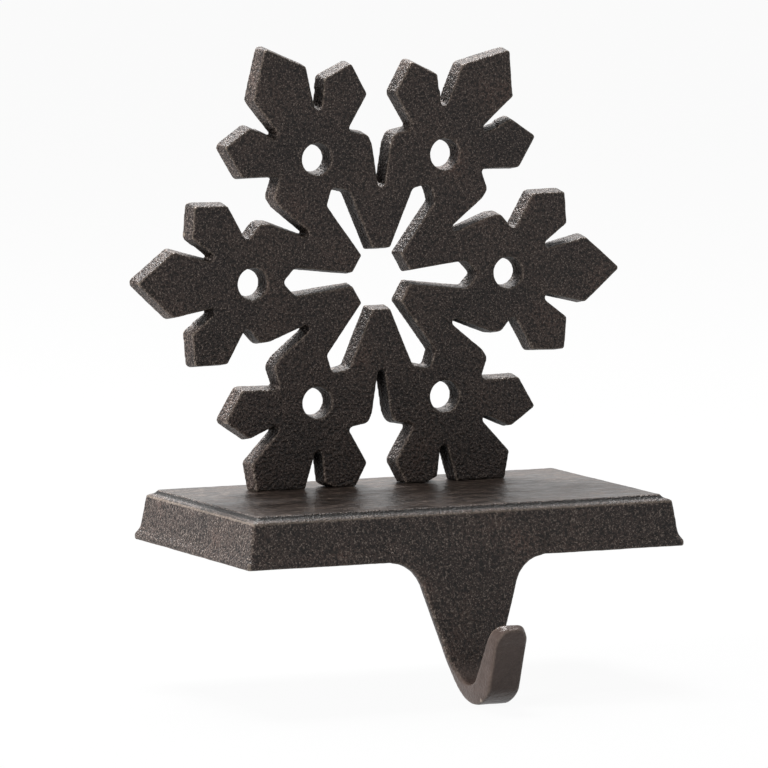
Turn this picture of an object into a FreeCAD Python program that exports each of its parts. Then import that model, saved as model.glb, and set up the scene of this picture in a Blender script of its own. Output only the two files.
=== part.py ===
"""Mantel stocking holder with a snowflake ornament, in cast iron. Millimetres, +Z up.

Two castings make it. The first is a hollow rectangular base with a J hook running down
from its front edge, which hangs in front of the shelf. The second is a flat snowflake that
stands on the base on four cut petals. Two screws come up through the base into the two wide
petals, and four soft pads under the corners keep the iron off the shelf.

The origin is the middle of the base, on the shelf's top face. The hook side looks to -Y.
"""
import FreeCAD, Part
import math
import os
import Sketcher


# Driving dimensions: alias, value in millimetres, degrees or a count, and what it is.
SIZES = [
    # base casting
    ("base_width", 134.8, "width at the lip, left to right"),
    ("base_depth", 80.0, "depth at the lip, front to back"),
    ("base_height", 14.4, "from the rim to the top face"),
    ("lip_height", 1.6, "upright lip round the bottom"),
    ("flare_height", 1.8, "height of the flare above the lip"),
    ("flare_inset", 1.2, "how far the side starts in from the lip"),
    ("side_draft", 8.0, "slope of the sides, degrees"),
    ("ledge_drop", 1.5, "edge of the ledge below the top face"),
    ("ledge_fall", 0.5, "fall of the ledge from its step to its edge"),
    ("step_inset", 4.3, "foot of the step in from the lip"),
    ("plateau_inset", 5.1, "top face in from the lip"),
    ("ledge_round", 1.0, "round of the ledge's outer edge"),
    ("flare_round", 3.0, "hollow round above the flare"),
    ("lip_round", 0.5, "round of the lip's lower edge"),
    ("base_corner_round", 0.8, "round of the four upright corners"),
    ("wall", 6.0, "wall of the base at its rim"),
    ("plate", 6.0, "thickness of the base's top"),
    ("cavity_draft", 3.0, "slope of the hollow's walls, degrees"),
    ("cavity_round", 3.0, "round of the hollow's upright corners"),
    ("pad_seat", 18.0, "side of each corner block that takes a pad"),
    # soft pads
    ("pad_diameter", 11.0, "round self-adhesive pad"),
    ("pad_thickness", 1.8, "thickness of a pad"),
    ("pad_recess", 1.5, "depth of the pad's seat"),
    ("pad_play", 0.4, "seat wider than the pad by this, on the diameter"),
    # hook
    ("hook_drop", 39.2, "from the rim to the underside of the bend"),
    ("hook_inner_radius", 6.8, "inside radius of the bend"),
    ("hook_width", 11.4, "width of the bend and the tip, on the inside"),
    ("hook_draft", 0.95, "outside of the hook narrower than its inside, on each side"),
    ("hook_round", 0.9, "round of the hook's long edges"),
    ("stem_lean", 7.5, "forward lean of the stem, degrees"),
    ("stem_thickness", 4.0, "thickness of the stem"),
    ("stem_neck_width", 29.9, "width of the stem below the sweep into the rim"),
    ("stem_end_width", 16.3, "width of the stem where the bend starts"),
    ("stem_root_radius", 6.5, "radius of the sweep into the rim"),
    ("stem_proud", 0.15, "front of the stem in front of the lip"),
    ("stem_inlet", 9.0, "how far the stem runs up inside the front wall"),
    ("stem_inlet_depth", 0.2, "top of that run behind the front face"),
    ("bend_thickness", 5.65, "thickness at the bottom of the bend"),
    ("lip_lean", 31.0, "forward lean of the tip's inner face, degrees"),
    ("tip_length", 18.2, "tip past the bend, along its inner face"),
    ("tip_root_thickness", 7.4, "thickness of the tip where it leaves the bend"),
    ("tip_thickness", 4.6, "thickness of the tip where its round end starts"),
    ("tip_round", 5.2, "length of the round end"),
    ("tip_end_width", 3.6, "width of the tip at its very end"),
    ("tip_end_thickness", 2.4, "thickness of the tip at its very end"),
    ("tip_end_set", 1.6, "very end set outwards from the inner face"),
    # snowflake
    ("flake_thickness", 5.5, "thickness of the snowflake"),
    ("flake_draft", 9.0, "slope of the snowflake's edges, degrees"),
    ("flake_front", 18.0, "its front face behind the middle of the base"),
    ("foot_height", 59.15, "its centre above the cut feet"),
    ("arm_count", 6.0, "number of arms"),
    ("tip_along", 75.5, "arm: tip from the centre"),
    ("shoulder_along", 64.6, "arm: shoulder below the tip, along the arm"),
    ("shoulder_out", 9.3, "arm: the same, to the side"),
    ("crotch_along", 47.6, "arm: notch between tip and petal, along"),
    ("crotch_out", 5.3, "arm: the same, to the side"),
    ("petal_root_along", 58.6, "petal: outer corner, along"),
    ("petal_root_out", 13.5, "petal: outer corner, to the side"),
    ("petal_tip_along", 57.9, "petal: far corner, along"),
    ("petal_tip_out", 22.6, "petal: far corner, to the side"),
    ("petal_heel_along", 47.8, "petal: inner corner, along"),
    ("petal_heel_out", 22.4, "petal: inner corner, to the side"),
    ("waist_along", 41.9, "notch behind the petal, along"),
    ("waist_out", 11.9, "notch behind the petal, to the side"),
    ("knee_along", 37.6, "bump before the next arm, far corner, along"),
    ("knee_out", 16.9, "the same, to the side"),
    ("knee_heel_along", 34.6, "bump before the next arm, near corner, along"),
    ("knee_heel_out", 16.6, "the same, to the side"),
    ("gap_floor", 26.0, "floor of the gap between two arms, from the centre"),
    ("gap_floor_half", 0.98, "half the width of that floor"),
    ("gap_overlap", 3.0, "how far an arm runs under its neighbour"),
    ("outer_round", 0.8, "round of the outer corners, in plan"),
    ("knee_round", 2.0, "round of the bump, in plan"),
    ("notch_round", 1.2, "round of the notches, in plan"),
    ("tooth_inner", 8.8, "flat of the hub's teeth from the centre"),
    ("slot_start", 5.0, "where each slot starts, inside the hub's opening"),
    ("slot_start_half", 1.55, "half width of the slot there"),
    ("slot_corner_along", 26.9, "widest place of the slot, along the arm"),
    ("slot_corner_half", 4.1, "half width of the slot there"),
    ("slot_end", 30.7, "end of the slot from the centre"),
    ("slot_round", 1.4, "round of the slot's corners, in plan"),
    ("eye_place", 40.0, "round hole in each arm, from the centre"),
    ("eye_radius", 4.6, "radius of that hole at the front"),
    # screws
    ("screw_place", 31.4, "each screw to the side of the middle"),
    ("screw_diameter", 3.0, "thread diameter"),
    ("screw_length", 14.0, "length under the head"),
    ("screw_head_diameter", 6.0, "pan head"),
    ("screw_head_height", 2.1, "pan head"),
    ("screw_head_round", 0.9, "round of the head's rim"),
    ("screw_point", 0.6, "chamfer at the screw's end"),
    ("recess_length", 3.2, "cross recess, from end to end"),
    ("recess_width", 0.9, "cross recess, width of an arm"),
    ("recess_depth", 1.2, "cross recess, depth"),
    ("screw_hole_play", 0.5, "clearance hole wider than the screw"),
    ("thread_play", 0.1, "tapped hole wider than the screw's body"),
    ("tapped_spare", 1.5, "tapped hole deeper than the screw's end"),
    ("boss_diameter", 11.0, "boss under the top at each screw"),
    ("boss_height", 1.5, "height of that boss"),
]

doc = FreeCAD.newDocument("stocking_holder")
sheet = doc.addObject("Spreadsheet::Sheet", "Sizes")
for row, (alias, value, meaning) in enumerate(SIZES, start=1):
    sheet.set(f"A{row}", meaning)
    sheet.set(f"B{row}", str(value))
    sheet.setAlias(f"B{row}", alias)
doc.recompute()


def cell(alias):
    """The expression that names one driving dimension."""
    return "Sizes." + alias


def number(expression):
    """The present value of an expression, as a plain number."""
    result = sheet.evalExpression(expression)
    return result.Value if hasattr(result, "Value") else float(result)


def new_body(name):
    body = doc.addObject("PartDesign::Body", name)
    body.Label = name
    return body


def origin_plane(body, role):
    return next(item for item in body.Origin.OriginFeatures if item.Role == role)


def new_sketch(body, name, role, lift=None, lift_axis="z"):
    """A sketch on one of the body's own planes, lifted off it by an expression."""
    sketch = body.newObject("Sketcher::SketchObject", name)
    sketch.AttachmentSupport = [(origin_plane(body, role), "")]
    sketch.MapMode = "FlatFace"
    if lift:
        sketch.setExpression("AttachmentOffset.Base." + lift_axis, lift)
    return sketch


def pin_point(sketch, geometry, point, along, up):
    """Holds a point of the sketch at two expressions, measured from its origin."""
    for kind, axis, expression in (("DistanceX", -2, along), ("DistanceY", -1, up)):
        if expression == "0":
            sketch.addConstraint(Sketcher.Constraint("PointOnObject", geometry, point, axis))
            continue
        value = number(expression)
        index = sketch.addConstraint(
            Sketcher.Constraint(kind, -1, 1, geometry, point, value))
        sketch.setExpression(f"Constraints[{index}]", expression)


def add_circle(sketch, along, up, radius):
    centre = FreeCAD.Vector(number(along), number(up), 0)
    circle = sketch.addGeometry(Part.Circle(centre, FreeCAD.Vector(0, 0, 1), number(radius)))
    pin_point(sketch, circle, 3, along, up)
    index = sketch.addConstraint(Sketcher.Constraint("Radius", circle, number(radius)))
    sketch.setExpression(f"Constraints[{index}]", radius)
    return circle


def add_outline(sketch, corners):
    """A closed outline through (along, up, round) corners, with a tangent arc at each round.

    Each corner is a construction point held by its two expressions. The two lines that meet
    there pass through it, and an arc of the given radius joins them where it is rounded.
    """
    places = [FreeCAD.Vector(number(a), number(b), 0) for a, b, _ in corners]
    radii = [number(r) if r else 0.0 for _, _, r in corners]
    count = len(corners)
    trims = []
    for i in range(count):
        before = (places[i - 1] - places[i]).normalize()
        after = (places[(i + 1) % count] - places[i]).normalize()
        half = before.getAngle(after) / 2
        trims.append((before, after, radii[i] / math.tan(half) if radii[i] else 0.0))
    lines = []
    for i in range(count):
        j = (i + 1) % count
        start = places[i] + trims[i][1] * trims[i][2]
        end = places[j] + trims[j][0] * trims[j][2]
        lines.append(sketch.addGeometry(Part.LineSegment(start, end)))
    for i in range(count):
        into, out_of = lines[i - 1], lines[i]
        if not radii[i]:
            sketch.addConstraint(Sketcher.Constraint("Coincident", into, 2, out_of, 1))
            pin_point(sketch, out_of, 1, corners[i][0], corners[i][1])
            continue
        before, after, trim = trims[i]
        first = places[i] + before * trim
        last = places[i] + after * trim
        bisector = (before + after).normalize()
        centre = places[i] + bisector * (radii[i] / math.sin(before.getAngle(after) / 2))
        middle = centre - bisector * radii[i]
        arc = sketch.addGeometry(Part.Arc(first, middle, last))
        anticlockwise = (first - centre).cross(last - centre).z > 0
        arc_first, arc_last = (1, 2) if anticlockwise else (2, 1)
        sketch.addConstraint(Sketcher.Constraint("Tangent", into, 2, arc, arc_first))
        sketch.addConstraint(Sketcher.Constraint("Tangent", arc, arc_last, out_of, 1))
        index = sketch.addConstraint(Sketcher.Constraint("Radius", arc, radii[i]))
        sketch.setExpression(f"Constraints[{index}]", corners[i][2])
        corner = sketch.addGeometry(Part.Point(places[i]), True)
        sketch.addConstraint(Sketcher.Constraint("PointOnObject", corner, 1, into))
        sketch.addConstraint(Sketcher.Constraint("PointOnObject", corner, 1, out_of))
        pin_point(sketch, corner, 1, corners[i][0], corners[i][1])


def rectangle_corners(width, depth, rounding=None):
    """Corners of a rectangle about the origin, from its two expressions."""
    signs = ((-1, -1), (1, -1), (1, 1), (-1, 1))
    return [(f"{sx} * ({width}) / 2", f"{sy} * ({depth}) / 2", rounding) for sx, sy in signs]


def inset_rectangle(body, name, height, inset):
    """A rounded rectangle, that far in from the base's lip, at a height above the shelf."""
    sketch = new_sketch(body, name, "XY_Plane", height)
    width = f"{cell('base_width')} - 2 * ({inset})"
    depth = f"{cell('base_depth')} - 2 * ({inset})"
    add_outline(sketch, rectangle_corners(width, depth, cell("base_corner_round")))
    return sketch


def edges_where(shape, wanted):
    """Names of the edges of a shape that a test on the edge picks out."""
    return [f"Edge{i}" for i, edge in enumerate(shape.Edges, start=1) if wanted(edge)]


# Heights above the shelf that several pieces share.
RIM = f"({cell('pad_thickness')} - {cell('pad_recess')})"
TOP = f"({RIM} + {cell('base_height')})"
FLARE_TOP = f"({RIM} + {cell('lip_height')} + {cell('flare_height')})"
LEDGE_EDGE = f"({TOP} - {cell('ledge_drop')})"
STEP_FOOT = f"({LEDGE_EDGE} + {cell('ledge_fall')})"
CEILING = f"({TOP} - {cell('plate')})"
LEDGE_INSET = (f"({cell('flare_inset')} + ({LEDGE_EDGE} - {FLARE_TOP})"
               f" * tan({cell('side_draft')}))")
SCREW_Y = f"({cell('flake_front')} + {cell('flake_thickness')} / 2)"
BOSS_FACE = f"({CEILING} - {cell('boss_height')})"
PAD_X = f"({cell('base_width')} / 2 - {cell('pad_seat')} / 2)"
PAD_Y = f"({cell('base_depth')} / 2 - {cell('pad_seat')} / 2)"
BEND_Z = (f"({RIM} - {cell('hook_drop')} + {cell('bend_thickness')}"
          f" + {cell('hook_inner_radius')})")
STEM_FRONT = f"(-{cell('base_depth')} / 2 - {cell('stem_proud')})"
BEND_Y = (f"({STEM_FRONT} + (sin({cell('stem_lean')}) * ({BEND_Z} - {RIM})"
          f" - {cell('hook_inner_radius')}) / cos({cell('stem_lean')}))")


def base_block(body):
    """The solid base: an upright lip, a flare, sloping sides, a ledge, a step and the top."""
    lip = inset_rectangle(body, "LipOutline", RIM, "0 * " + cell("base_width"))
    pad = body.newObject("PartDesign::Pad", "Lip")
    pad.Profile = lip
    pad.setExpression("Length", cell("lip_height"))
    levels = [
        ("LipTop", f"{RIM} + {cell('lip_height')}", "0 * " + cell("base_width")),
        ("FlareTop", FLARE_TOP, cell("flare_inset")),
        ("LedgeEdge", LEDGE_EDGE, LEDGE_INSET),
        ("StepFoot", STEP_FOOT, cell("step_inset")),
        ("TopEdge", TOP, cell("plateau_inset")),
    ]
    outlines = [inset_rectangle(body, *level) for level in levels]
    loft = body.newObject("PartDesign::AdditiveLoft", "Sides")
    loft.Profile = outlines[0]
    loft.Sections = outlines[1:]
    loft.Ruled = True
    return loft


def hollow(body):
    """The hollow underside, with a block left in each corner for a pad, and the pads' seats."""
    half_x = f"({cell('base_width')} / 2 - {cell('wall')})"
    half_y = f"({cell('base_depth')} / 2 - {cell('wall')})"
    block_x = f"({cell('base_width')} / 2 - {cell('pad_seat')})"
    block_y = f"({cell('base_depth')} / 2 - {cell('pad_seat')})"
    cross = [(half_x, "-" + block_y), (half_x, block_y), (block_x, block_y), (block_x, half_y),
             ("-" + block_x, half_y), ("-" + block_x, block_y), ("-" + half_x, block_y),
             ("-" + half_x, "-" + block_y), ("-" + block_x, "-" + block_y),
             ("-" + block_x, "-" + half_y), (block_x, "-" + half_y), (block_x, "-" + block_y)]
    outline = new_sketch(body, "HollowOutline", "XY_Plane", RIM)
    add_outline(outline, [(x, y, cell("cavity_round")) for x, y in cross])
    pocket = body.newObject("PartDesign::Pocket", "Hollow")
    pocket.Profile = outline
    pocket.Reversed = True
    pocket.setExpression("Length", f"{CEILING} - {RIM}")
    pocket.setExpression("TaperAngle", "-" + cell("cavity_draft"))
    return pocket


def round_edges(body, name, radius, wanted):
    """A fillet on the edges of the body's present shape that a test picks out."""
    doc.recompute()
    base = body.Tip
    fillet = body.newObject("PartDesign::Fillet", name)
    fillet.Base = (base, edges_where(base.Shape, wanted))
    fillet.setExpression("Radius", radius)
    doc.recompute()
    return fillet


def at_height(height):
    """A test for edges that lie wholly at one height."""
    level = number(height)

    def wanted(edge):
        box = edge.BoundBox
        return abs(box.ZMin - level) < 0.01 and abs(box.ZMax - level) < 0.01

    return wanted


def circles_cut(body, name, height, places, radius, depth):
    """Round pockets cut upwards from a height."""
    sketch = new_sketch(body, name + "Outline", "XY_Plane", height)
    for along, across in places:
        add_circle(sketch, along, across, radius)
    pocket = body.newObject("PartDesign::Pocket", name)
    pocket.Profile = sketch
    pocket.Reversed = True
    pocket.setExpression("Length", depth)
    return pocket


# Steps of the hook's bend, and the shares of the sweep's height and of the tip's round end
# where the hook has a section.
BEND_STEPS = 10
SWEEP_STEPS = (0.0, 0.08, 0.22, 0.42, 0.7, 1.0)
TIP_STEPS = (0.0, 0.45, 0.75, 0.92, 1.0)
SCREW_PLACES = [("-" + cell("screw_place"), SCREW_Y), (cell("screw_place"), SCREW_Y)]
PAD_PLACES = {
    "front_left": ("-" + PAD_X, "-" + PAD_Y),
    "front_right": (PAD_X, "-" + PAD_Y),
    "rear_left": ("-" + PAD_X, PAD_Y),
    "rear_right": (PAD_X, PAD_Y),
}


def screw_bosses(body):
    """Round bosses under the top, with a clearance hole right through each."""
    sketch = new_sketch(body, "BossOutline", "XY_Plane", BOSS_FACE)
    for along, across in SCREW_PLACES:
        add_circle(sketch, along, across, cell("boss_diameter") + " / 2")
    bosses = body.newObject("PartDesign::Pad", "Bosses")
    bosses.Profile = sketch
    bosses.setExpression("Length", cell("boss_height") + " + " + cell("plate") + " / 2")
    radius = f"({cell('screw_diameter')} + {cell('screw_hole_play')}) / 2"
    depth = cell("boss_height") + " + " + cell("plate")
    circles_cut(body, "ScrewHoles", BOSS_FACE, SCREW_PLACES, radius, depth)


def stem_width(drop):
    """Width of the stem at a drop below the rim, as an expression.

    Below the sweep it narrows in a straight line to the bend. In the sweep a quarter round is
    added on each side.
    """
    sweep = cell("stem_root_radius")
    neck = cell("stem_neck_width")
    length = f"({RIM} - {BEND_Z} - {sweep})"
    line = f"({neck} + ({neck} - {cell('stem_end_width')}) * ({sweep} - ({drop})) / {length})"
    if number(drop) >= number(sweep):
        return line
    rounding = f"({sweep} - sqrt({sweep}^2 - ({sweep} - ({drop}))^2))"
    return f"({line} + 2 * {rounding})"


def hook_section(body, name, across, height, angle, width, thickness, draft=None):
    """One cross section of the hook, square to its run, its inner face through a point."""
    sketch = new_sketch(body, name, "XY_Plane")
    turn = FreeCAD.Rotation(FreeCAD.Vector(-1, 0, 0), number(angle))
    sketch.AttachmentOffset = FreeCAD.Placement(FreeCAD.Vector(0, 0, 0), turn)
    sketch.setExpression("AttachmentOffset.Base.y", across)
    sketch.setExpression("AttachmentOffset.Base.z", height)
    sketch.setExpression("AttachmentOffset.Rotation.Angle", angle)
    inside = f"({width}) / 2"
    outside = f"(({width}) / 2 - {draft or cell('hook_draft')})"
    corners = [("-" + inside, "0"), (inside, "0"), (outside, thickness), ("-" + outside, thickness)]
    add_outline(sketch, [(x, y, cell("hook_round")) for x, y in corners])
    return sketch


def loft_through(body, name, sections, ruled):
    loft = body.newObject("PartDesign::AdditiveLoft", name)
    loft.Profile = sections[0]
    loft.Sections = sections[1:]
    loft.Ruled = ruled
    doc.recompute()
    return loft


def stem_sections(body):
    """The stem from inside the base's front wall, past the lip and the sweep, to its neck."""
    lean = cell("stem_lean")
    flare_top = f"({cell('lip_height')} + {cell('flare_height')})"
    inlet = (f"(-{cell('base_depth')} / 2 + {cell('flare_inset')} + {cell('stem_inlet_depth')}"
             f" + ({cell('stem_inlet')} - {flare_top}) * tan({cell('side_draft')}))")
    places = [(inlet, f"{RIM} + {cell('stem_inlet')}", stem_width("0")),
              (STEM_FRONT, f"{RIM} + {cell('lip_height')}", stem_width("0"))]
    for step in SWEEP_STEPS:
        drop = f"({step} * {cell('stem_root_radius')})"
        places.append((f"{STEM_FRONT} - {drop} * tan({lean})", f"{RIM} - {drop}", stem_width(drop)))
    return [hook_section(body, f"Stem{i}", across, height, lean, width, cell("stem_thickness"))
            for i, (across, height, width) in enumerate(places)]


def bend_sections(body):
    """The bend: its thickness changes down to its lowest place, and again up to the tip."""
    lean, inner = cell("stem_lean"), cell("hook_inner_radius")
    turn = f"(180 - {lean} - {cell('lip_lean')})"
    down = f"(90 - {lean})"
    sections = []
    for step in range(BEND_STEPS + 1):
        share = step / BEND_STEPS
        turned = f"({share} * {turn})"
        angle = f"({lean} + {turned})"
        width = (f"({cell('hook_width')} + ({cell('stem_end_width')} - {cell('hook_width')})"
                 f" * {(1 - share) ** 5})")
        first, last, part = "stem_thickness", "bend_thickness", f"{turned} / {down}"
        if number(turned) > number(down):
            first, last = "bend_thickness", "tip_root_thickness"
            part = f"({turned} - {down}) / ({turn} - {down})"
        thickness = f"({cell(first)} + ({cell(last)} - {cell(first)}) * {part})"
        sections.append(hook_section(
            body, f"Bend{step}", f"{BEND_Y} + {inner} * cos({angle})",
            f"{BEND_Z} - {inner} * sin({angle})", angle, width, thickness))
    return sections


def tip_sections(body):
    """The tip past the bend: straight to its shoulder, then closing in an elliptic end."""
    angle = f"(180 - {cell('lip_lean')})"
    sections = []
    for step in TIP_STEPS:
        full = (1 - step ** 2) ** 0.5
        run = f"({cell('tip_length')} - {cell('tip_round')} * {1 - step})"
        reach = f"({cell('hook_inner_radius')} + {cell('tip_end_set')} * {1 - full})"
        width, thickness = (
            f"({cell(end)} + ({cell(start)} - {cell(end)}) * {full})"
            for start, end in (("hook_width", "tip_end_width"),
                               ("tip_thickness", "tip_end_thickness")))
        sections.append(hook_section(
            body, f"Tip{len(sections)}",
            f"{BEND_Y} + {reach} * cos({angle}) - {run} * sin({cell('lip_lean')})",
            f"{BEND_Z} - {reach} * sin({angle}) + {run} * cos({cell('lip_lean')})",
            angle, width, thickness, f"({cell('hook_draft')} * {full})"))
    return sections


def hook(body):
    """The J hook: a leaning stem, a bend and a tip, through cross sections set along it.

    The stem and the tip are straight from section to section, and the bend is smooth.
    """
    bend = bend_sections(body)
    loft_through(body, "Stem", stem_sections(body) + bend[:1], True)
    loft_through(body, "Bend", bend, False)
    loft_through(body, "Tip", bend[-1:] + tip_sections(body), True)


def base_and_hook():
    """The first casting."""
    body = new_body("base_and_hook")
    base_block(body)
    round_edges(body, "LedgeRound", cell("ledge_round"), at_height(LEDGE_EDGE))
    round_edges(body, "FlareRound", cell("flare_round"), at_height(FLARE_TOP))
    round_edges(body, "LipRound", cell("lip_round"), at_height(RIM))
    hook(body)
    hollow(body)
    screw_bosses(body)
    seat_radius = f"({cell('pad_diameter')} + {cell('pad_play')}) / 2"
    circles_cut(body, "PadSeats", RIM, PAD_PLACES.values(), seat_radius, cell("pad_recess"))
    doc.recompute()
    return body


def arm_corners():
    """Plan corners of one arm, from its tip round both sides to the hub."""
    outer, knee, notch = cell("outer_round"), cell("knee_round"), cell("notch_round")
    floor, half = cell("gap_floor"), cell("gap_floor_half")
    under = cell("gap_overlap")
    side = [
        (cell("shoulder_along"), cell("shoulder_out"), outer),
        (cell("crotch_along"), cell("crotch_out"), notch),
        (cell("petal_root_along"), cell("petal_root_out"), outer),
        (cell("petal_tip_along"), cell("petal_tip_out"), outer),
        (cell("petal_heel_along"), cell("petal_heel_out"), outer),
        (cell("waist_along"), cell("waist_out"), notch),
        (cell("knee_along"), cell("knee_out"), knee),
        (cell("knee_heel_along"), cell("knee_heel_out"), outer),
        (f"({floor} * cos(30) + {half} * sin(30))",
         f"({floor} * sin(30) - {half} * cos(30))", notch),
        (f"({floor} * cos(30) - {under} * sin(30))",
         f"({floor} * sin(30) + {under} * cos(30))", None),
    ]
    mirrored = [(along, "-" + out, rounding) for along, out, rounding in reversed(side)]
    return mirrored + [(cell("tip_along"), "0", outer)] + side + [("0", "0", None)]


def tapered_pocket(body, name, sketch):
    """A pocket right through from the front face, narrowing to the back with the draft."""
    pocket = body.newObject("PartDesign::Pocket", name)
    pocket.Profile = sketch
    pocket.setExpression("Length", cell("flake_thickness"))
    pocket.setExpression("TaperAngle", "-" + cell("flake_draft"))
    return pocket


def around_centre(body, name, features):
    """Repeats features round the snowflake's own axis, once for each arm."""
    pattern = body.newObject("PartDesign::PolarPattern", name)
    pattern.Originals = features
    pattern.Axis = (origin_plane(body, "Y_Axis"), [""])
    pattern.Angle = 360
    pattern.setExpression("Occurrences", cell("arm_count"))
    body.Tip = pattern
    doc.recompute()
    return pattern


def cut_openings(body):
    """The star in the hub, with a slot running out along each arm, and the round holes."""
    tooth = cell("tooth_inner")
    hub_outline = new_sketch(body, "HubOutline", "XZ_Plane")
    hexagon = [(f"{tooth} / cos(30) * cos({60 * k})", f"{tooth} / cos(30) * sin({60 * k})", None)
               for k in range(6)]
    add_outline(hub_outline, hexagon)
    tapered_pocket(body, "Hub", hub_outline)
    slot_outline = new_sketch(body, "SlotOutline", "XZ_Plane")
    side = [(cell("slot_corner_along"), cell("slot_corner_half"), cell("slot_round")),
            (cell("slot_start"), cell("slot_start_half"), None)]
    mirrored = [(along, "-" + out, rounding) for along, out, rounding in reversed(side)]
    add_outline(slot_outline, mirrored + [(cell("slot_end"), "0", cell("slot_round"))] + side)
    slot = tapered_pocket(body, "Slot", slot_outline)
    eye_outline = new_sketch(body, "EyeOutline", "XZ_Plane")
    add_circle(eye_outline, cell("eye_place"), "0", cell("eye_radius"))
    eye = tapered_pocket(body, "Eye", eye_outline)
    doc.recompute()
    around_centre(body, "SlotsAndEyes", [slot, eye])


def cut_feet(body):
    """Cuts the lower petals level, and bores the tapped holes up into the two wide ones."""
    reach = cell("tip_along")
    outline = new_sketch(body, "FootOutline", "XY_Plane", "-" + cell("foot_height"))
    add_outline(outline, rectangle_corners(f"3 * {reach}", f"3 * {reach}"))
    cut = body.newObject("PartDesign::Pocket", "Feet")
    cut.Profile = outline
    cut.setExpression("Length", reach)
    middle = cell("flake_thickness") + " / 2"
    places = [("-" + cell("screw_place"), middle), (cell("screw_place"), middle)]
    radius = f"({cell('screw_diameter')} + {cell('thread_play')}) / 2"
    depth = (f"{cell('screw_length')} - {cell('plate')} - {cell('boss_height')}"
             f" + {cell('tapped_spare')}")
    circles_cut(body, "TappedHoles", "-" + cell("foot_height"), places, radius, depth)


def snowflake():
    """The second casting: six arms, the hub's opening and slots, round holes and cut feet."""
    body = new_body("snowflake")
    arm_outline = new_sketch(body, "ArmOutline", "XZ_Plane")
    add_outline(arm_outline, arm_corners())
    arm = body.newObject("PartDesign::Pad", "Arm")
    arm.Profile = arm_outline
    arm.Reversed = True
    arm.setExpression("Length", cell("flake_thickness"))
    arm.setExpression("TaperAngle", cell("flake_draft"))
    doc.recompute()
    around_centre(body, "Arms", [arm])
    cut_openings(body)
    cut_feet(body)
    body.setExpression("Placement.Base.y", cell("flake_front"))
    body.setExpression("Placement.Base.z", f"{TOP} + {cell('foot_height')}")
    doc.recompute()
    return body


def recess_corners():
    """Plan corners of the cross recess in a screw's head."""
    far, near = f"{cell('recess_length')} / 2", f"{cell('recess_width')} / 2"
    quarter = [(far, near), (near, near), (near, far)]
    corners = []
    for sx, sy, order in ((1, 1, 1), (-1, 1, -1), (-1, -1, 1), (1, -1, -1)):
        corners += [(f"{sx} * {x}", f"{sy} * {y}", None) for x, y in quarter[::order]]
    return corners


def mounting_screws():
    """Two pan-head screws with cross recesses, heads down inside the hollow."""
    body = new_body("mounting_screws")
    profile = new_sketch(body, "ScrewProfile", "XZ_Plane", cell("screw_place"), "x")
    head, shank = f"{cell('screw_head_diameter')} / 2", f"{cell('screw_diameter')} / 2"
    under, end, point = cell("screw_head_height"), cell("screw_length"), cell("screw_point")
    add_outline(profile, [
        ("0", "-" + under, None), (head, "-" + under, cell("screw_head_round")),
        (head, "0", None), (shank, "0", None), (shank, f"{end} - {point}", None),
        (f"{shank} - {point}", end, None), ("0", end, None)])
    turned = body.newObject("PartDesign::Revolution", "Turned")
    turned.Profile = profile
    turned.ReferenceAxis = (profile, ["V_Axis"])
    turned.Angle = 360
    recess = new_sketch(body, "RecessOutline", "XY_Plane", "-" + under)
    recess.setExpression("AttachmentOffset.Base.x", cell("screw_place"))
    add_outline(recess, recess_corners())
    cross = body.newObject("PartDesign::Pocket", "Cross")
    cross.Profile = recess
    cross.Reversed = True
    cross.setExpression("Length", cell("recess_depth"))
    doc.recompute()
    pair = body.newObject("PartDesign::Mirrored", "Pair")
    pair.Originals = [turned, cross]
    pair.MirrorPlane = (origin_plane(body, "YZ_Plane"), [""])
    body.Tip = pair
    body.setExpression("Placement.Base.y", SCREW_Y)
    body.setExpression("Placement.Base.z", BOSS_FACE)
    doc.recompute()
    return body


def soft_pad(corner, across, along):
    """A round pad in its seat at one corner, standing proud of the rim onto the shelf."""
    body = new_body("pad_" + corner)
    outline = new_sketch(body, "PadOutline_" + corner, "XY_Plane")
    add_circle(outline, "0", "0", cell("pad_diameter") + " / 2")
    disc = body.newObject("PartDesign::Pad", "Disc_" + corner)
    disc.Profile = outline
    disc.setExpression("Length", cell("pad_thickness"))
    body.setExpression("Placement.Base.x", across)
    body.setExpression("Placement.Base.y", along)
    doc.recompute()
    return body


def write_step(bodies):
    """Checks every object of the document and every piece's shape, then writes the pieces."""
    for item in doc.Objects:
        if "Invalid" in item.State or "Error" in item.State:
            raise RuntimeError(f"{item.Name} did not compute: {item.State}")
    for body in bodies:
        if body.Shape.isNull() or not body.Shape.isValid() or not body.Shape.Solids:
            raise RuntimeError(f"{body.Label} has no valid solid")
    os.makedirs("parts", exist_ok=True)
    for body in bodies:
        body.Shape.exportStep(f"parts/{body.Label}.step")
        print(f"{body.Label}: {len(body.Shape.Solids)} solid, {body.Shape.Volume:.0f} mm3")


pieces = [base_and_hook(), snowflake(), mounting_screws()]
pieces += [soft_pad(corner, *place) for corner, place in PAD_PLACES.items()]
doc.recompute()
write_step(pieces)
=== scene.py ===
# %% [markdown]
# # A cast iron stocking holder
#
# The object is a mantel stocking holder. A hollow iron base stands on the shelf, a J hook runs
# down from its front edge, and a flat openwork snowflake stands on top. This lesson takes the
# finished construction model as its frame and gives every piece its real surface.
#
# The frame is loaded first, because each piece below is made from it or sits in it.

# %% Load the frame
import math

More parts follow.
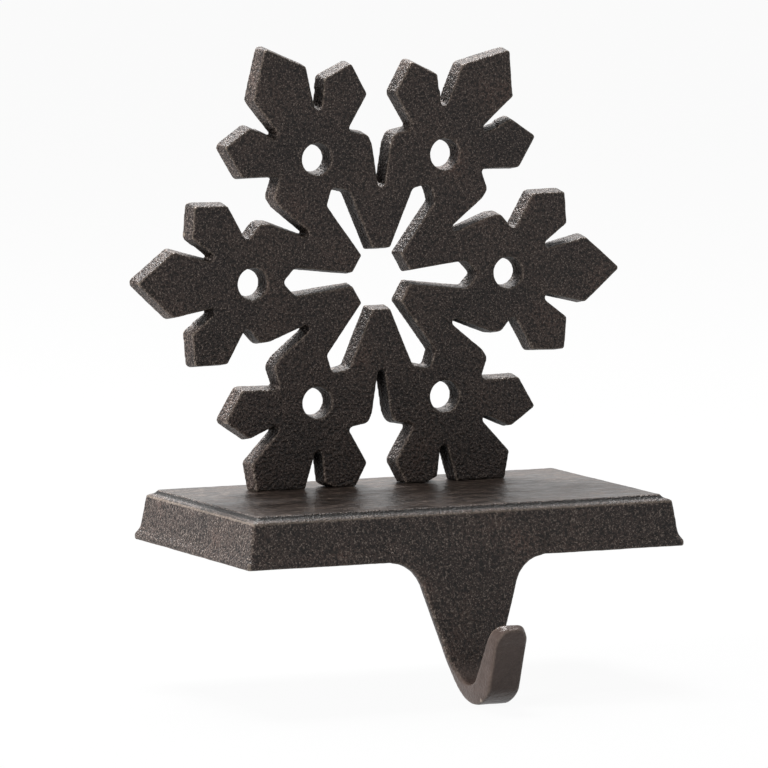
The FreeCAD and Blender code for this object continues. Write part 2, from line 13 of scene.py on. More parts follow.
import bmesh
import bpy
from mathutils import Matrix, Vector


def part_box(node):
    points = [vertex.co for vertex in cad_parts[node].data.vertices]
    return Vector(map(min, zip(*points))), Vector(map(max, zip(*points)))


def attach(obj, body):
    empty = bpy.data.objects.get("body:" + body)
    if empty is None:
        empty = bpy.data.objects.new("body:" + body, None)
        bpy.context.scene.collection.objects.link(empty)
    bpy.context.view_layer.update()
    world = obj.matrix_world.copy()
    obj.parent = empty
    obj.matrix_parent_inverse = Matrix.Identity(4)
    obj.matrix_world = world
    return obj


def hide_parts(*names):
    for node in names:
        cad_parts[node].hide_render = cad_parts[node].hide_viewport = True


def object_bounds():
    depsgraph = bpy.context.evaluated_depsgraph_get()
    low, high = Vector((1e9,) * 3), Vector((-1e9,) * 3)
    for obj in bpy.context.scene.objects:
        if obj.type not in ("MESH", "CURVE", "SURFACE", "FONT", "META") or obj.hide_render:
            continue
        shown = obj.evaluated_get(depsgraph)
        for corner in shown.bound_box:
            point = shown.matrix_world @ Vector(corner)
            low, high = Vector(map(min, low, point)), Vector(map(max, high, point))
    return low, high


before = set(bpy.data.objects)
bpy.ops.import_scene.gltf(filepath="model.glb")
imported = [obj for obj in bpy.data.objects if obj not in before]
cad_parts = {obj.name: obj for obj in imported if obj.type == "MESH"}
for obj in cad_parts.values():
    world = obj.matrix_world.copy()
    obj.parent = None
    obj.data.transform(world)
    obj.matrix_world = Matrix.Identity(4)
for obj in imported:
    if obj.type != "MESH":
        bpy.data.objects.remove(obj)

MM = 0.001
cad_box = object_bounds()
print("nodes in the frame:", sorted(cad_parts))

# %% [markdown]
# ## The camera
#
# The photograph was taken from the front left and a little above, through a long lens: edges
# that are parallel on the object stay almost parallel in the picture. So the camera stands far
# away, and its lens is long enough for the object to fill the frame. Its place is written as
# an aim point, a distance and two angles, which are easier to change than coordinates.

# %% Camera
AIM = Vector((0.75, 18.0, 43.6)) * MM
CAMERA_DISTANCE = 2561 * MM
CAMERA_AZIMUTH = math.radians(24.94)
CAMERA_ELEVATION = math.radians(6.20)
CAMERA_LENS = 421.9

view_direction = Vector((math.sin(CAMERA_AZIMUTH) * math.cos(CAMERA_ELEVATION),
                         math.cos(CAMERA_AZIMUTH) * math.cos(CAMERA_ELEVATION),
                         -math.sin(CAMERA_ELEVATION)))
camera_data = bpy.data.cameras.new("camera")
camera_data.lens = CAMERA_LENS
camera_data.sensor_width = 36.0
camera_data.clip_end = 20.0
camera = bpy.data.objects.new("camera", camera_data)
camera.location = AIM - view_direction * CAMERA_DISTANCE
camera.rotation_euler = view_direction.to_track_quat("-Z", "Y").to_euler()
bpy.context.scene.collection.objects.link(camera)
bpy.context.scene.camera = camera
print("camera stands at", tuple(round(value, 3) for value in camera.location))

# %% [markdown]
# ## Two small helpers
#
# Colours are written as they look on a screen, as hex values, and the renderer wants them
# linear, so one function turns them. Another adds a node with its settings and its links,
# which keeps the long node trees below short enough to read.

# %% Helpers
def linear(hex_colour):
    """A screen colour such as '#3a332e' as the linear RGBA that the renderer uses."""
    values = [int(hex_colour[i:i + 2], 16) / 255 for i in (1, 3, 5)]
    curve = [v / 12.92 if v <= 0.04045 else ((v + 0.055) / 1.055) ** 2.4 for v in values]
    return (*curve, 1.0)


def add_node(tree, kind, inputs=None, **settings):
    """A new node. An input given a socket is linked to it, and any other value is set."""
    node = tree.nodes.new(kind)
    for name, value in settings.items():
        setattr(node, name, value)
    for name, value in (inputs or {}).items():
        if isinstance(value, bpy.types.NodeSocket):
            tree.links.new(value, node.inputs[name])
        else:
            node.inputs[name].default_value = value
    return node


# %% [markdown]
# ## Where the iron is worn, and where shade and highlights are painted
#
# The real castings are grey iron, poured in green sand and finished with a thin dark
# brown-black wax. Two places are not as the mould left them. The top of the base was rubbed
# smooth before the wax went on, and stocking loops have polished the bend and the tip of the
# hook.
# Both are found by their place on the object, so a mask is a few ranges of Object coordinates.
# The step round the top face and the joint where the snowflake stands on it are painted dark,
# partly as pooled wax and partly as painted shade, and the ledge's rim is painted paler, partly
# as wear and partly as a painted highlight. Those three are narrow ranges of height.
#
# First come five small functions that the masks and the tones are written with.

# %% Shader helpers
MASK_SOFTNESS = 0.1 * MM


def map_range(tree, value, low, high, start, end):
    """A socket that goes from start to end while the value goes from low to high."""
    node = add_node(tree, "ShaderNodeMapRange", {
        "Value": value, "From Min": low, "From Max": high, "To Min": start, "To Max": end})
    return node.outputs["Result"]


def blend(tree, factor, first, second):
    """A colour between two colours."""
    node = add_node(tree, "ShaderNodeMix", {"Factor": factor, "A": first, "B": second},
                    data_type="RGBA")
    return node.outputs["Result"]


def combine(tree, operation, first, second):
    """One number from two."""
    return add_node(tree, "ShaderNodeMath", {0: first, 1: second}, operation=operation).outputs[0]


def noise(tree, vector, size, detail=1.0):
    """A cloudy pattern whose patches are about as large as size."""
    return add_node(tree, "ShaderNodeTexNoise", {
        "Vector": vector, "Scale": 1 / size, "Detail": detail}).outputs["Fac"]


def between(tree, value, low, high):
    """1 where the value lies between low and high, with soft ends."""
    rise = map_range(tree, value, low - MASK_SOFTNESS, low, 0.0, 1.0)
    fall = map_range(tree, value, high, high + MASK_SOFTNESS, 1.0, 0.0)
    return combine(tree, "MULTIPLY", rise, fall)


print("masks end softly over", round(MASK_SOFTNESS / MM, 2), "mm")

# %% [markdown]
# The heights are measured from the base's top face. Only level surfaces count as rubbed, and
# only steep ones as the joint under the snowflake, so the two don't mix where they meet.

# %% Masks for worn places
RUBBED = (-0.40 * MM, 0.50 * MM)
STEP = (-1.05 * MM, -0.35 * MM)
LEDGE_RIM = (-2.10 * MM, -1.65 * MM)
LEDGE = (LEDGE_RIM[0], STEP[1])
JOINT = (0.02 * MM, 0.40 * MM)
LOOP_HIGH, LOOP_LOW = -27 * MM, -33 * MM
TIP_BACK, TIP_FRONT = -52 * MM, -57 * MM


def handled_mask(tree, height, depth):
    """1 on the bend and the tip of the hook."""
    bend = map_range(tree, height, LOOP_HIGH, LOOP_LOW, 0.0, 1.0)
    tip = map_range(tree, depth, TIP_BACK, TIP_FRONT, 0.0, 1.0)
    return combine(tree, "MAXIMUM", bend, tip)


def wear_and_shade_masks(tree, place, upward, top):
    """A mask for each place where the iron isn't as the mould left it, or where shade or a
    highlight is painted, by its name.
    """
    axes = add_node(tree, "ShaderNodeSeparateXYZ", {"Vector": place}).outputs
    level = map_range(tree, upward, 0.90, 0.97, 0.0, 1.0)
    steep = map_range(tree, upward, 0.90, 0.97, 1.0, 0.0)
    step, rim, ledge, rubbed, joint = (
        between(tree, axes["Z"], top + low, top + high)
        for low, high in (STEP, LEDGE_RIM, LEDGE, RUBBED, JOINT))
    # The step and the joint are pooled wax and painted shade. The rim is wear and a painted
    # highlight.
    joint = combine(tree, "MULTIPLY", joint, steep)
    return {"rim": rim, "ledge": ledge,
            "rubbed": combine(tree, "MULTIPLY", rubbed, level),
            "wax_and_shade": combine(tree, "MAXIMUM", step, joint),
            "handled": handled_mask(tree, axes["Z"], axes["Y"])}


print("the step mask spans", round((STEP[1] - STEP[0]) / MM, 2), "mm of height")

# %% [markdown]
# ## The iron's finish
#
# Moulding sand leaves a skin of pebbles under 1 mm with finer grit on them. It shows mostly as
# relief, so the bump is strong. The low spots are painted dark, partly as wax lying in them and
# partly as painted shade, and the high spots paler, partly as thin wax and partly as painted
# glints.
# Its tone drifts over some 15 mm. The rubbed top has faint streaks left to right. Every
# pattern is on Object coordinates, so nothing slides or stretches.

# %% Tones of the iron
PEBBLE = 0.85 * MM
GRIT = 0.45 * MM
BLOTCH = 15 * MM
PATCH = 2.2 * MM
STREAK_LENGTH, STREAK_WIDTH = 9 * MM, 3.5 * MM


def patterns(tree, place):
    """The noises of the finish, by their names."""
    stretch = add_node(tree, "ShaderNodeMapping", {
        "Vector": place, "Scale": (STREAK_WIDTH / STREAK_LENGTH, 1.0, 1.0)}).outputs["Vector"]
    return {"pebble": noise(tree, place, PEBBLE), "grit": noise(tree, place, GRIT),
            "blotch": noise(tree, place, BLOTCH, 4.0), "patch": noise(tree, place, PATCH, 5.0),
            "streak": noise(tree, stretch, STREAK_WIDTH, 3.0)}


def sandy_tone(tree, noises):
    """The dark wax over the sandy skin, darker in its low spots as wax and painted shade, and
    paler on its high spots as thin wax and painted glints.
    """
    coat = blend(tree, map_range(tree, noises["blotch"], 0.35, 0.65, 0.0, 1.0),
                 linear("#2c2523"), linear("#3e3430"))
    rusty = map_range(tree, noises["blotch"], 0.62, 0.75, 0.0, 0.35)
    rust = blend(tree, rusty, coat, linear("#58443d"))
    # High spots: paler, as thin wax and as painted glints.
    thin_wax_and_glints = map_range(tree, noises["grit"], 0.54, 0.65, 0.0, 0.65)
    gritty = blend(tree, thin_wax_and_glints, rust, linear("#867b73"))
    # Low spots: darker, as wax lying there and as painted shade.
    low_wax_and_shade = map_range(tree, noises["pebble"], 0.38, 0.52, 0.85, 0.0)
    return blend(tree, low_wax_and_shade, gritty, linear("#100e0d"))


def rubbed_tone(tree, noises):
    """The thinner wax on the rubbed face, streaked and patchy."""
    streaky = blend(tree, map_range(tree, noises["streak"], 0.35, 0.7, 0.0, 1.0),
                    linear("#1f1916"), linear("#3a302b"))
    thin_wax = map_range(tree, noises["patch"], 0.54, 0.66, 0.0, 0.25)
    pale = blend(tree, thin_wax, streaky, linear("#7a6d62"))
    thick_wax = map_range(tree, noises["patch"], 0.32, 0.44, 0.6, 0.0)
    return blend(tree, thick_wax, pale, linear("#161210"))


def iron_tone(tree, worn_and_shaded, noises):
    """The iron's colour before wear and painted highlights on its edges: sandy, rubbed, handled,
    or dark with pooled wax and painted shade.
    """
    skin = blend(tree, worn_and_shaded["rubbed"], sandy_tone(tree, noises), rubbed_tone(tree, noises))
    polished = blend(tree, noises["patch"], linear("#372d29"), linear("#524641"))
    smooth = blend(tree, worn_and_shaded["handled"], skin, polished)
    # Step and joint: darkened as pooled wax and as painted shade.
    return blend(tree, worn_and_shaded["wax_and_shade"], smooth, linear("#120f0d"))


print("pebbles of", round(PEBBLE / MM, 2), "mm and grit of", round(GRIT / MM, 2), "mm")

# %% [markdown]
# On the edges the colour is paler, partly as wax worn off by handling and partly as painted
# highlights, and in hollow corners it is darker, partly as pooled wax and partly as painted
# shade.
# The upright walls of narrow gaps are painted dark as shade and lose their shine: ambient
# occlusion of the casting alone finds them. Wax covers the iron nearly everywhere, so the surface
# shines like wax and only a little like metal.

# %% Edges, gaps and relief
GAP = 9 * MM
RELIEF = 0.70 * MM


def edge_wear_and_painted_light(tree, tone, pointiness, rim):
    """The tone darker in hollow corners, as pooled wax and painted shade, and paler on the edges
    and the ledge's rim, as worn wax and painted highlights.
    """
    # Hollow corners: darkened as pooled wax and as painted shade.
    hollow = map_range(tree, pointiness, 0.40, 0.46, 0.85, 0.0)
    corner_wax_and_shade = blend(tree, hollow, tone, linear("#14110f"))
    # Edges and the ledge's rim: paler, as worn wax and as painted highlights.
    edge = map_range(tree, pointiness, 0.52, 0.58, 0.0, 0.5)
    worn_and_highlit = combine(tree, "MAXIMUM", edge, combine(tree, "MULTIPLY", rim, 0.25))
    return blend(tree, worn_and_highlit, corner_wax_and_shade, linear("#9a8d80"))


def painted_gap_shade(tree, upward):
    """1 on the upright walls of narrow gaps, where shade is painted."""
    # Painted shade: ambient occlusion finds the walls of narrow gaps, which are then darkened.
    open_air = add_node(tree, "ShaderNodeAmbientOcclusion", {"Distance": GAP},
                        samples=8, only_local=True).outputs["AO"]
    sheltered = map_range(tree, upward, 0.1, 0.6, 1.0, 0.0)
    return combine(tree, "MULTIPLY", sheltered, map_range(tree, open_air, 0.35, 0.80, 1.0, 0.0))


def mix_numbers(tree, factor, first, second):
    """A number between two numbers."""
    return add_node(tree, "ShaderNodeMix", {"Factor": factor, "A": first, "B": second},
                    data_type="FLOAT").outputs["Result"]


def iron_relief(tree, worn_and_shaded, noises):
    """The normal of the skin: pebbly, and calmer where the iron is rubbed or handled."""
    sandy = add_node(tree, "ShaderNodeMath", {0: noises["grit"], 1: 0.5, 2: noises["pebble"]},
                     operation="MULTIPLY_ADD").outputs[0]
    height = mix_numbers(tree, worn_and_shaded["rubbed"], sandy, noises["patch"])
    worked = combine(tree, "MAXIMUM", combine(tree, "MULTIPLY", worn_and_shaded["rubbed"], 0.55),
                     combine(tree, "MULTIPLY", worn_and_shaded["ledge"], 0.85))
    calm = combine(tree, "MAXIMUM", worked, worn_and_shaded["handled"])
    return add_node(tree, "ShaderNodeBump", {
        "Height": height, "Strength": map_range(tree, calm, 0.0, 1.0, 1.0, 0.30),
        "Distance": RELIEF}).outputs["Normal"]


# Narrow gaps are painted dark as shade.
print("gaps narrower than about", round(GAP / MM), "mm are shaded")

# %% [markdown]
# The material puts these together. It is given the height of the base's top face, which is
# where the snowflake's feet stand.

# %% Sand-cast iron material
def sand_cast_iron(top):
    """Grey iron from a sand mould under dark wax: dull and pebbly, paler on its edges with wear
    and painted highlights, and with painted shade in its gaps and hollows.
    """
    material = bpy.data.materials.new("sand_cast_iron")
    material.use_nodes = True
    tree = material.node_tree
    tree.nodes.clear()
    place = add_node(tree, "ShaderNodeTexCoord").outputs["Object"]
    shape = add_node(tree, "ShaderNodeNewGeometry").outputs
    upward = add_node(tree, "ShaderNodeSeparateXYZ", {"Vector": shape["Normal"]}).outputs["Z"]
    worn_and_shaded, noises = wear_and_shade_masks(tree, place, upward, top), patterns(tree, place)
    tone = edge_wear_and_painted_light(tree, iron_tone(tree, worn_and_shaded, noises), shape["Pointiness"], worn_and_shaded["rim"])
    gap_shade_mask = painted_gap_shade(tree, upward)
    # The walls of narrow gaps are painted near black as shade, and their shine is taken away too.
    colour = blend(tree, combine(tree, "MULTIPLY", gap_shade_mask, 0.8), tone, linear("#0e0c0b"))
    dull = map_range(tree, worn_and_shaded["handled"], 0.0, 1.0, 0.50, 0.36)
    # The rubbed top's wax is rougher along some streaks.
    wax_and_shade = map_range(tree, noises["streak"], 0.35, 0.65, 0.31, 0.43)
    surface = add_node(tree, "ShaderNodeBsdfPrincipled", {
        "Base Color": colour, "Roughness": mix_numbers(tree, worn_and_shaded["rubbed"], dull, wax_and_shade),
        "Metallic": 0.05, "Specular IOR Level": map_range(tree, gap_shade_mask, 0.0, 0.9, 0.25, 0.0),
        "Normal": iron_relief(tree, worn_and_shaded, noises)})
    add_node(tree, "ShaderNodeOutputMaterial", {"Surface": surface.outputs["BSDF"]})
    return material


base_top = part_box("snowflake")[0][2]
iron = sand_cast_iron(base_top)
print("material:", iron.name, "- top face at", round(base_top / MM, 2), "mm")

# %% [markdown]
# ## The skin of a casting
#
# The construction model has exact planes and sharp edges. A sand casting has neither: its
# edges are rounded by the sand, and its faces swell and dip a little. One Geometry Nodes tree
# moves each point along its normal by two sizes of noise, and sinks a pit here and there,
# where a grain of sand came loose in the mould. Both castings use the same tree, with their
# own seed, so it is built once.

# %% Geometry Nodes tree for a cast skin
def cast_skin_tree():
    """Moves a surface along its normals by coarse and fine noise, and sinks small pits."""
    tree = bpy.data.node_groups.new("cast_skin", "GeometryNodeTree")
    face = tree.interface
    face.new_socket("Geometry", in_out="INPUT", socket_type="NodeSocketGeometry")
    for name, value in (("Swell Size", 9 * MM), ("Swell Height", 0.12 * MM),
                        ("Grain Size", 1.5 * MM), ("Grain Height", 0.07 * MM),
                        ("Pit Spacing", 13 * MM), ("Pit Size", 0.9 * MM),
                        ("Pit Depth", 0.35 * MM), ("Seed", 0.0)):
        socket = face.new_socket(name, in_out="INPUT", socket_type="NodeSocketFloat")
        socket.default_value = value
    face.new_socket("Material", in_out="INPUT", socket_type="NodeSocketMaterial")
    face.new_socket("Geometry", in_out="OUTPUT", socket_type="NodeSocketGeometry")
    given = add_node(tree, "NodeGroupInput").outputs

    def maths(operation, *values):
        return add_node(tree, "ShaderNodeMath", dict(enumerate(values)),
                        operation=operation).outputs[0]

    moves = []
    for size, height in (("Swell Size", "Swell Height"), ("Grain Size", "Grain Height")):
        noise = add_node(tree, "ShaderNodeTexNoise", {
            "W": given["Seed"], "Scale": maths("DIVIDE", 1.0, given[size]), "Detail": 1.0},
            noise_dimensions="4D")
        centred = maths("SUBTRACT", noise.outputs[0], 0.5)
        moves.append(maths("MULTIPLY", maths("MULTIPLY", centred, 2.0), given[height]))
    cells = add_node(tree, "ShaderNodeTexVoronoi", {
        "W": given["Seed"], "Scale": maths("DIVIDE", 1.0, given["Pit Spacing"])},
        voronoi_dimensions="4D")
    away = maths("MULTIPLY", cells.outputs["Distance"], given["Pit Spacing"])
    near = add_node(tree, "ShaderNodeMapRange", {
        "Value": away, "From Min": 0.0, "From Max": given["Pit Size"], "To Min": 1.0,
        "To Max": 0.0}, interpolation_type="SMOOTHSTEP").outputs["Result"]
    pit = maths("MULTIPLY", near, given["Pit Depth"])
    total = maths("SUBTRACT", maths("ADD", *moves), pit)
    offset = add_node(tree, "ShaderNodeVectorMath", {
        0: add_node(tree, "GeometryNodeInputNormal").outputs[0], "Scale": total},
        operation="SCALE")
    moved = add_node(tree, "GeometryNodeSetPosition", {
        "Geometry": given["Geometry"], "Offset": offset.outputs[0]})
    smooth = add_node(tree, "GeometryNodeSetShadeSmooth", {"Geometry": moved.outputs[0]})
    real = add_node(tree, "GeometryNodeRealizeInstances", {"Geometry": smooth.outputs[0]})
    coated = add_node(tree, "GeometryNodeSetMaterial", {
        "Geometry": real.outputs[0], "Material": given["Material"]})
    add_node(tree, "NodeGroupOutput", {"Geometry": coated.outputs[0]})
    return tree


cast_skin = cast_skin_tree()
print("tree:", cast_skin.name, "with", len(cast_skin.nodes), "nodes")

# %% [markdown]
# ## From a construction node to a casting
#
# A voxel remesh of the node gives even faces all over, a few rounds of smoothing take the
# edges off, and a collapse thins the flat stretches, where so many faces say nothing. Then
# comes the skin. The result is turned into a plain mesh, because the export and the later
# steps want one with no modifiers left.

# %% Casting from a node of the frame
def set_input(modifier, name, value):
    """Sets a Geometry Nodes modifier's input, found by its name, through its identifier."""
    for item in modifier.node_group.interface.items_tree:
        if item.item_type == "SOCKET" and item.in_out == "INPUT" and item.name == name:
            modifier[item.identifier] = value
            return
    raise KeyError(name)


def plain_mesh(work, name):
    """The evaluated object as a new object with a plain mesh. The old one is removed."""
    bpy.context.view_layer.update()
    evaluated = work.evaluated_get(bpy.context.evaluated_depsgraph_get())
    mesh = bpy.data.meshes.new_from_object(evaluated)
    mesh.name = name
    piece = bpy.data.objects.new(name, mesh)
    bpy.context.scene.collection.objects.link(piece)
    bpy.data.objects.remove(work)
    return piece


def casting(node, name, voxel, smoothing, kept, seed):
    """A sand-cast copy of a node: remeshed, softened, thinned, and given the cast skin."""
    work = bpy.data.objects.new(name + "_work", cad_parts[node].data.copy())
    bpy.context.scene.collection.objects.link(work)
    weld = work.modifiers.new("weld", "WELD")
    weld.merge_threshold = 0.002 * MM
    remesh = work.modifiers.new("remesh", "REMESH")
    remesh.mode = "VOXEL"
    remesh.voxel_size = voxel
    soften = work.modifiers.new("soften", "SMOOTH")
    soften.factor = 0.5
    soften.iterations = smoothing
    thin = work.modifiers.new("thin", "DECIMATE")
    thin.ratio = kept
    skin = work.modifiers.new("skin", "NODES")
    skin.node_group = cast_skin
    set_input(skin, "Seed", seed)
    set_input(skin, "Material", iron)
    piece = plain_mesh(work, name)
    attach(piece, "root")
    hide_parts(node)
    print(name, "has", len(piece.data.polygons), "faces")
    return piece


snowflake = casting("snowflake", "cast_snowflake", 0.38 * MM, 2, 0.5, 3.0)
base = casting("base_and_hook", "cast_base", 0.42 * MM, 1, 0.42, 11.0)

# %% [markdown]
# ## Hand-made tips
#
# The six arms come from one drawing, but the pattern that left its print in the sand was
# filed by hand. Three of the pointed tips lean a little. Each point of a tip is moved
# sideways, more the further out it lies, so the arm bends and doesn't break.

# %% Leaning tips
FOOT_HEIGHT = 59.15 * MM
LEAN_START, LEAN_END = 50 * MM, 75 * MM
TIP_HALF_ANGLE = 11
TIP_LEANS = {60: -3.0 * MM, 120: -1.8 * MM, 180: -1.4 * MM}


def lean_tips(piece, centre):
    """Bends the pointed tips round the snowflake's centre. A plus sign is anticlockwise."""
    for vertex in piece.data.vertices:
        out = Vector((vertex.co.x - centre.x, vertex.co.z - centre.z))
        share = (out.length - LEAN_START) / (LEAN_END - LEAN_START)
        if share <= 0:
            continue
        angle = math.degrees(math.atan2(out.y, out.x))
        for arm, lean in TIP_LEANS.items():
            if abs((angle - arm + 180) % 360 - 180) < TIP_HALF_ANGLE:
                side = Vector((-out.y, out.x)).normalized() * lean * share ** 1.5
                vertex.co.x += side.x
                vertex.co.z += side.y


hub = Vector((0, 0, base_top + FOOT_HEIGHT))
lean_tips(snowflake, hub)
print("leaning tips at", sorted(TIP_LEANS), "degrees")

# %% [markdown]
# ## Rubber pads
#
# Four black rubber pads under the corners keep the iron off the shelf. Each is a moulded
# disc with a rounded rim, which a turned profile gives. One Geometry Nodes tree sets the disc
# at the four corners of a rectangle, so its spans and the disc are the only things to change.

# %% Rubber material
def moulded_rubber():
    """Black moulded rubber: matte, with a fine leathery skin from the mould."""
    material = bpy.data.materials.new("moulded_rubber")
    material.use_nodes = True
    tree = material.node_tree
    tree.nodes.clear()
    place = add_node(tree, "ShaderNodeTexCoord").outputs["Object"]
    skin = add_node(tree, "ShaderNodeTexNoise", {
        "Vector": place, "Scale": 1 / (0.35 * MM), "Detail": 2.0}).outputs["Fac"]
    dust = add_node(tree, "ShaderNodeTexNoise", {
        "Vector": place, "Scale": 1 / (4 * MM), "Detail": 3.0}).outputs["Fac"]
    tone = blend(tree, map_range(tree, dust, 0.4, 0.7, 0.0, 1.0),
                 linear("#232221"), linear("#383634"))
    bump = add_node(tree, "ShaderNodeBump", {
        "Height": skin, "Strength": 0.4, "Distance": 0.05 * MM})
    surface = add_node(tree, "ShaderNodeBsdfPrincipled", {
        "Base Color": tone, "Roughness": 0.78, "Normal": bump.outputs["Normal"]})
    add_node(tree, "ShaderNodeOutputMaterial", {"Surface": surface.outputs["BSDF"]})
    return material


rubber = moulded_rubber()
print("material:", rubber.name)

# %% [markdown]
# The disc's half profile runs from the middle of its underside, round the rim, to the middle
# of its top. Spinning it about the upright axis closes it, and merging doubles joins the seam
# and the two poles.

# %% Pad disc
RIM_ROUND = 0.5 * MM
RIM_STEPS = 5
PAD_NODES = ("pad_front_left", "pad_front_right", "pad_rear_left", "pad_rear_right")


def turned(name, profile, steps=64):
    """A closed mesh from a half profile of (radius, height) points, turned about Z."""
    form = bmesh.new()
    points = [form.verts.new((radius, 0, height)) for radius, height in profile]
    edges = [form.edges.new(pair) for pair in zip(points, points[1:])]
    bmesh.ops.spin(form, geom=points + edges, cent=(0, 0, 0), axis=(0, 0, 1),
                   angle=2 * math.pi, steps=steps)
    bmesh.ops.remove_doubles(form, verts=form.verts, dist=0.001 * MM)
    bmesh.ops.recalc_face_normals(form, faces=form.faces)
    mesh = bpy.data.meshes.new(name)
    form.to_mesh(mesh)
    form.free()
    piece = bpy.data.objects.new(name, mesh)
    bpy.context.scene.collection.objects.link(piece)
    return piece


pad_low, pad_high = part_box(PAD_NODES[0])
pad_radius = (pad_high[0] - pad_low[0]) / 2
pad_thickness = pad_high[2] - pad_low[2]
quarter = [math.pi / 2 * step / RIM_STEPS for step in range(RIM_STEPS + 1)]
inner = pad_radius - RIM_ROUND
low_rim = [(inner + RIM_ROUND * math.sin(a), RIM_ROUND * (1 - math.cos(a))) for a in quarter]
high_rim = [(radius, pad_thickness - height) for radius, height in reversed(low_rim)]
disc = turned("pad_disc", [(0, 0)] + low_rim + high_rim + [(0, pad_thickness)])
print("disc of", round(2 * pad_radius / MM, 1), "mm with", len(disc.data.polygons), "faces")

# %% [markdown]
# The tree makes a grid of two by two points, puts the disc on each, makes the copies real and
# gives them the rubber.

# %% Pads at the four corners
def corner_tree():
    """Copies of an object at the four corners of a rectangle on the ground."""
    tree = bpy.data.node_groups.new("at_four_corners", "GeometryNodeTree")
    face = tree.interface
    face.new_socket("Geometry", in_out="INPUT", socket_type="NodeSocketGeometry")
    face.new_socket("Copied", in_out="INPUT", socket_type="NodeSocketObject")
    for name in ("Span X", "Span Y"):
        face.new_socket(name, in_out="INPUT", socket_type="NodeSocketFloat")
    face.new_socket("Material", in_out="INPUT", socket_type="NodeSocketMaterial")
    face.new_socket("Geometry", in_out="OUTPUT", socket_type="NodeSocketGeometry")
    given = add_node(tree, "NodeGroupInput").outputs
    grid = add_node(tree, "GeometryNodeMeshGrid", {
        "Size X": given["Span X"], "Size Y": given["Span Y"], "Vertices X": 2, "Vertices Y": 2})
    copied = add_node(tree, "GeometryNodeObjectInfo", {"Object": given["Copied"]})
    placed = add_node(tree, "GeometryNodeInstanceOnPoints", {
        "Points": grid.outputs["Mesh"], "Instance": copied.outputs["Geometry"]})
    real = add_node(tree, "GeometryNodeRealizeInstances", {"Geometry": placed.outputs[0]})
    coated = add_node(tree, "GeometryNodeSetMaterial", {
        "Geometry": real.outputs[0], "Material": given["Material"]})
    add_node(tree, "NodeGroupOutput", {"Geometry": coated.outputs[0]})
    return tree


far_low, far_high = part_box(PAD_NODES[3])
work = bpy.data.objects.new("pads_work", bpy.data.meshes.new("pads_work"))
bpy.context.scene.collection.objects.link(work)
corners = work.modifiers.new("corners", "NODES")
corners.node_group = corner_tree()
set_input(corners, "Copied", disc)
set_input(corners, "Span X", far_low[0] - pad_low[0])
set_input(corners, "Span Y", far_low[1] - pad_low[1])
set_input(corners, "Material", rubber)
pads = plain_mesh(work, "rubber_pads")
bpy.data.objects.remove(disc)
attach(pads, "root")
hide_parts(*PAD_NODES)
print("rubber_pads has", len(pads.data.polygons), "faces")

# %% [markdown]
# ## Screws
#
# Two pan-head screws hold the snowflake. Only their heads show, deep in the hollow underside,
# and the construction model has them with their cross recess, so they keep that shape and get
# the blued black of an oxide bath: steel, nearly black, with a soft oily shine.

# %% Black oxide steel on the screws
def black_oxide_steel():
    """Steel blackened in a hot oxide bath: dark, metallic, a little uneven and oily."""
    material = bpy.data.materials.new("black_oxide_steel")
    material.use_nodes = True
    tree = material.node_tree
    tree.nodes.clear()
    place = add_node(tree, "ShaderNodeTexCoord").outputs["Object"]
    cloud = add_node(tree, "ShaderNodeTexNoise", {
        "Vector": place, "Scale": 1 / (1.2 * MM), "Detail": 3.0}).outputs["Fac"]
    tone = blend(tree, cloud, linear("#383736"), linear("#5a5856"))
    rough = map_range(tree, cloud, 0.3, 0.7, 0.28, 0.42)
    surface = add_node(tree, "ShaderNodeBsdfPrincipled", {
        "Base Color": tone, "Metallic": 1.0, "Roughness": rough})
    add_node(tree, "ShaderNodeOutputMaterial", {"Surface": surface.outputs["BSDF"]})
    return material


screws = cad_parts["mounting_screws"]
screws.data.materials.clear()
screws.data.materials.append(black_oxide_steel())
print("screws have", len(screws.data.polygons), "faces")

# %% [markdown]
# ## The stage
#
# The picture has a plain white ground and no hard shadow. The floor is just under the hook.
# The camera sees it as white, and a part of it stays a real lit surface, so the object's
# soft shadow still falls on it.

# %% Floor
SHADOW_SHARE = 0.05
FLOOR_GAP = 0.3 * MM
FLOOR_HALF = 3.0


def seen_directly(tree):
    """1 for rays from the camera and for reflections and refractions, and 0 for the light."""
    paths = add_node(tree, "ShaderNodeLightPath").outputs
    first = add_node(tree, "ShaderNodeMath", {
        0: paths["Is Camera Ray"], 1: paths["Is Glossy Ray"]}, operation="MAXIMUM")
    return add_node(tree, "ShaderNodeMath", {
        0: first.outputs[0], 1: paths["Is Transmission Ray"]}, operation="MAXIMUM").outputs[0]


def white_ground():
    """A matte floor that camera and shine see as white, with a share of its shading kept."""
    material = bpy.data.materials.new("white_ground")
    material.use_nodes = True
    tree = material.node_tree
    tree.nodes.clear()
    matte = add_node(tree, "ShaderNodeBsdfDiffuse", {"Color": linear("#9c9c9c")})
    glow = add_node(tree, "ShaderNodeEmission", {"Color": (1.0, 1.0, 1.0, 1.0)})
    share = map_range(tree, seen_directly(tree), 0.0, 1.0, 0.0, 1 - SHADOW_SHARE)
    mixed = add_node(tree, "ShaderNodeMixShader", {
        0: share, 1: matte.outputs[0], 2: glow.outputs[0]})
    add_node(tree, "ShaderNodeOutputMaterial", {"Surface": mixed.outputs[0]})
    return material


floor_level = cad_box[0][2] - FLOOR_GAP
floor_mesh = bpy.data.meshes.new("floor")
floor_mesh.from_pydata([(x * FLOOR_HALF, y * FLOOR_HALF, floor_level)
                        for x, y in ((-1, -1), (1, -1), (1, 1), (-1, 1))], [], [(0, 1, 2, 3)])
floor_mesh.materials.append(white_ground())
floor = bpy.data.objects.new("floor", floor_mesh)
bpy.context.scene.collection.objects.link(floor)
print("floor at", round(floor_level / MM, 1), "mm")

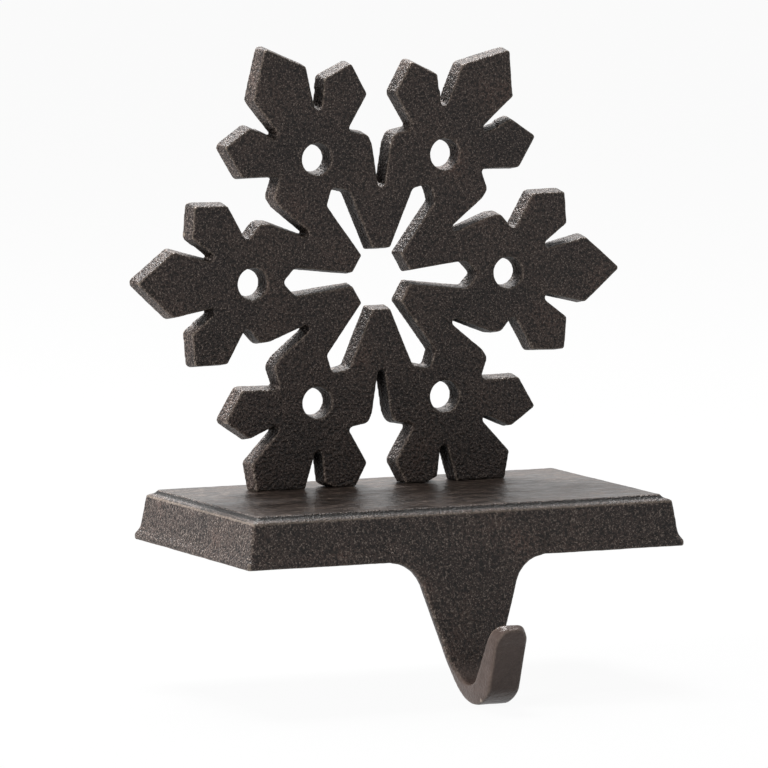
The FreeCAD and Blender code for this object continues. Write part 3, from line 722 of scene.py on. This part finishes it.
# %% [markdown]
# ## The light
#
# A small window stands on the left, level with the snowflake. It lights the walls that look
# left, grazes the fronts, which brings out their sandy skin, and can't reach into the narrow
# gaps. A box behind and above lights the walls that look up, and lays the snowflake's shadow
# on the front of the base. The window is kept out of the shine, or the flat top would flare
# white when it is seen from the right.
#
# The room's own soft light comes from a white wall behind the object and is dim in front. The
# camera and the object's shine see white all round instead, so the flat top, which is seen at
# a low angle, is pale where nothing stands behind it.

# %% Room and lamps
WHITE = (1.0, 1.0, 1.0, 1.0)
ROOM_FRONT = linear("#7a7876")

world = bpy.data.worlds.new("white_room")
world.use_nodes = True
room = world.node_tree
room.nodes.clear()
direction = add_node(room, "ShaderNodeTexCoord").outputs["Generated"]
behind = add_node(room, "ShaderNodeSeparateXYZ", {"Vector": direction}).outputs["Y"]
wall = blend(room, map_range(room, behind, 0.1, 0.6, 0.0, 1.0), ROOM_FRONT, WHITE)
tone = blend(room, seen_directly(room), wall, WHITE)
ground = add_node(room, "ShaderNodeBackground", {"Color": tone})
add_node(room, "ShaderNodeOutputWorld", {"Surface": ground.outputs[0]})
bpy.context.scene.world = world


def softbox(name, place, aim, size, power, mirrored):
    """A square area lamp at a place, turned to its aim, in metres and watts.

    A lamp that isn't mirrored lights the object but doesn't show in its shine.
    """
    data = bpy.data.lights.new(name, "AREA")
    data.size = size
    data.energy = power
    lamp = bpy.data.objects.new(name, data)
    lamp.location = place
    lamp.visible_glossy = mirrored
    lamp.rotation_euler = (Vector(aim) - Vector(place)).to_track_quat("-Z", "Y").to_euler()
    bpy.context.scene.collection.objects.link(lamp)


softbox("left_window", (-1.30, -0.05, 0.45), (0, 0, 0.05), 0.25, 29, mirrored=False)
softbox("back_box", (0.05, 0.55, 1.10), (0, 0, 0.05), 0.5, 44, mirrored=True)
bpy.context.scene.view_settings.view_transform = "Standard"
print("lamps:", [item.name for item in bpy.data.lights])

# %% [markdown]
# ## Finish
#
# The construction model's box is printed. The visual model may not be larger than the
# construction model.

# %% Sizes and finish
print("construction box", [tuple(round(v, 4) for v in corner) for corner in cad_box])
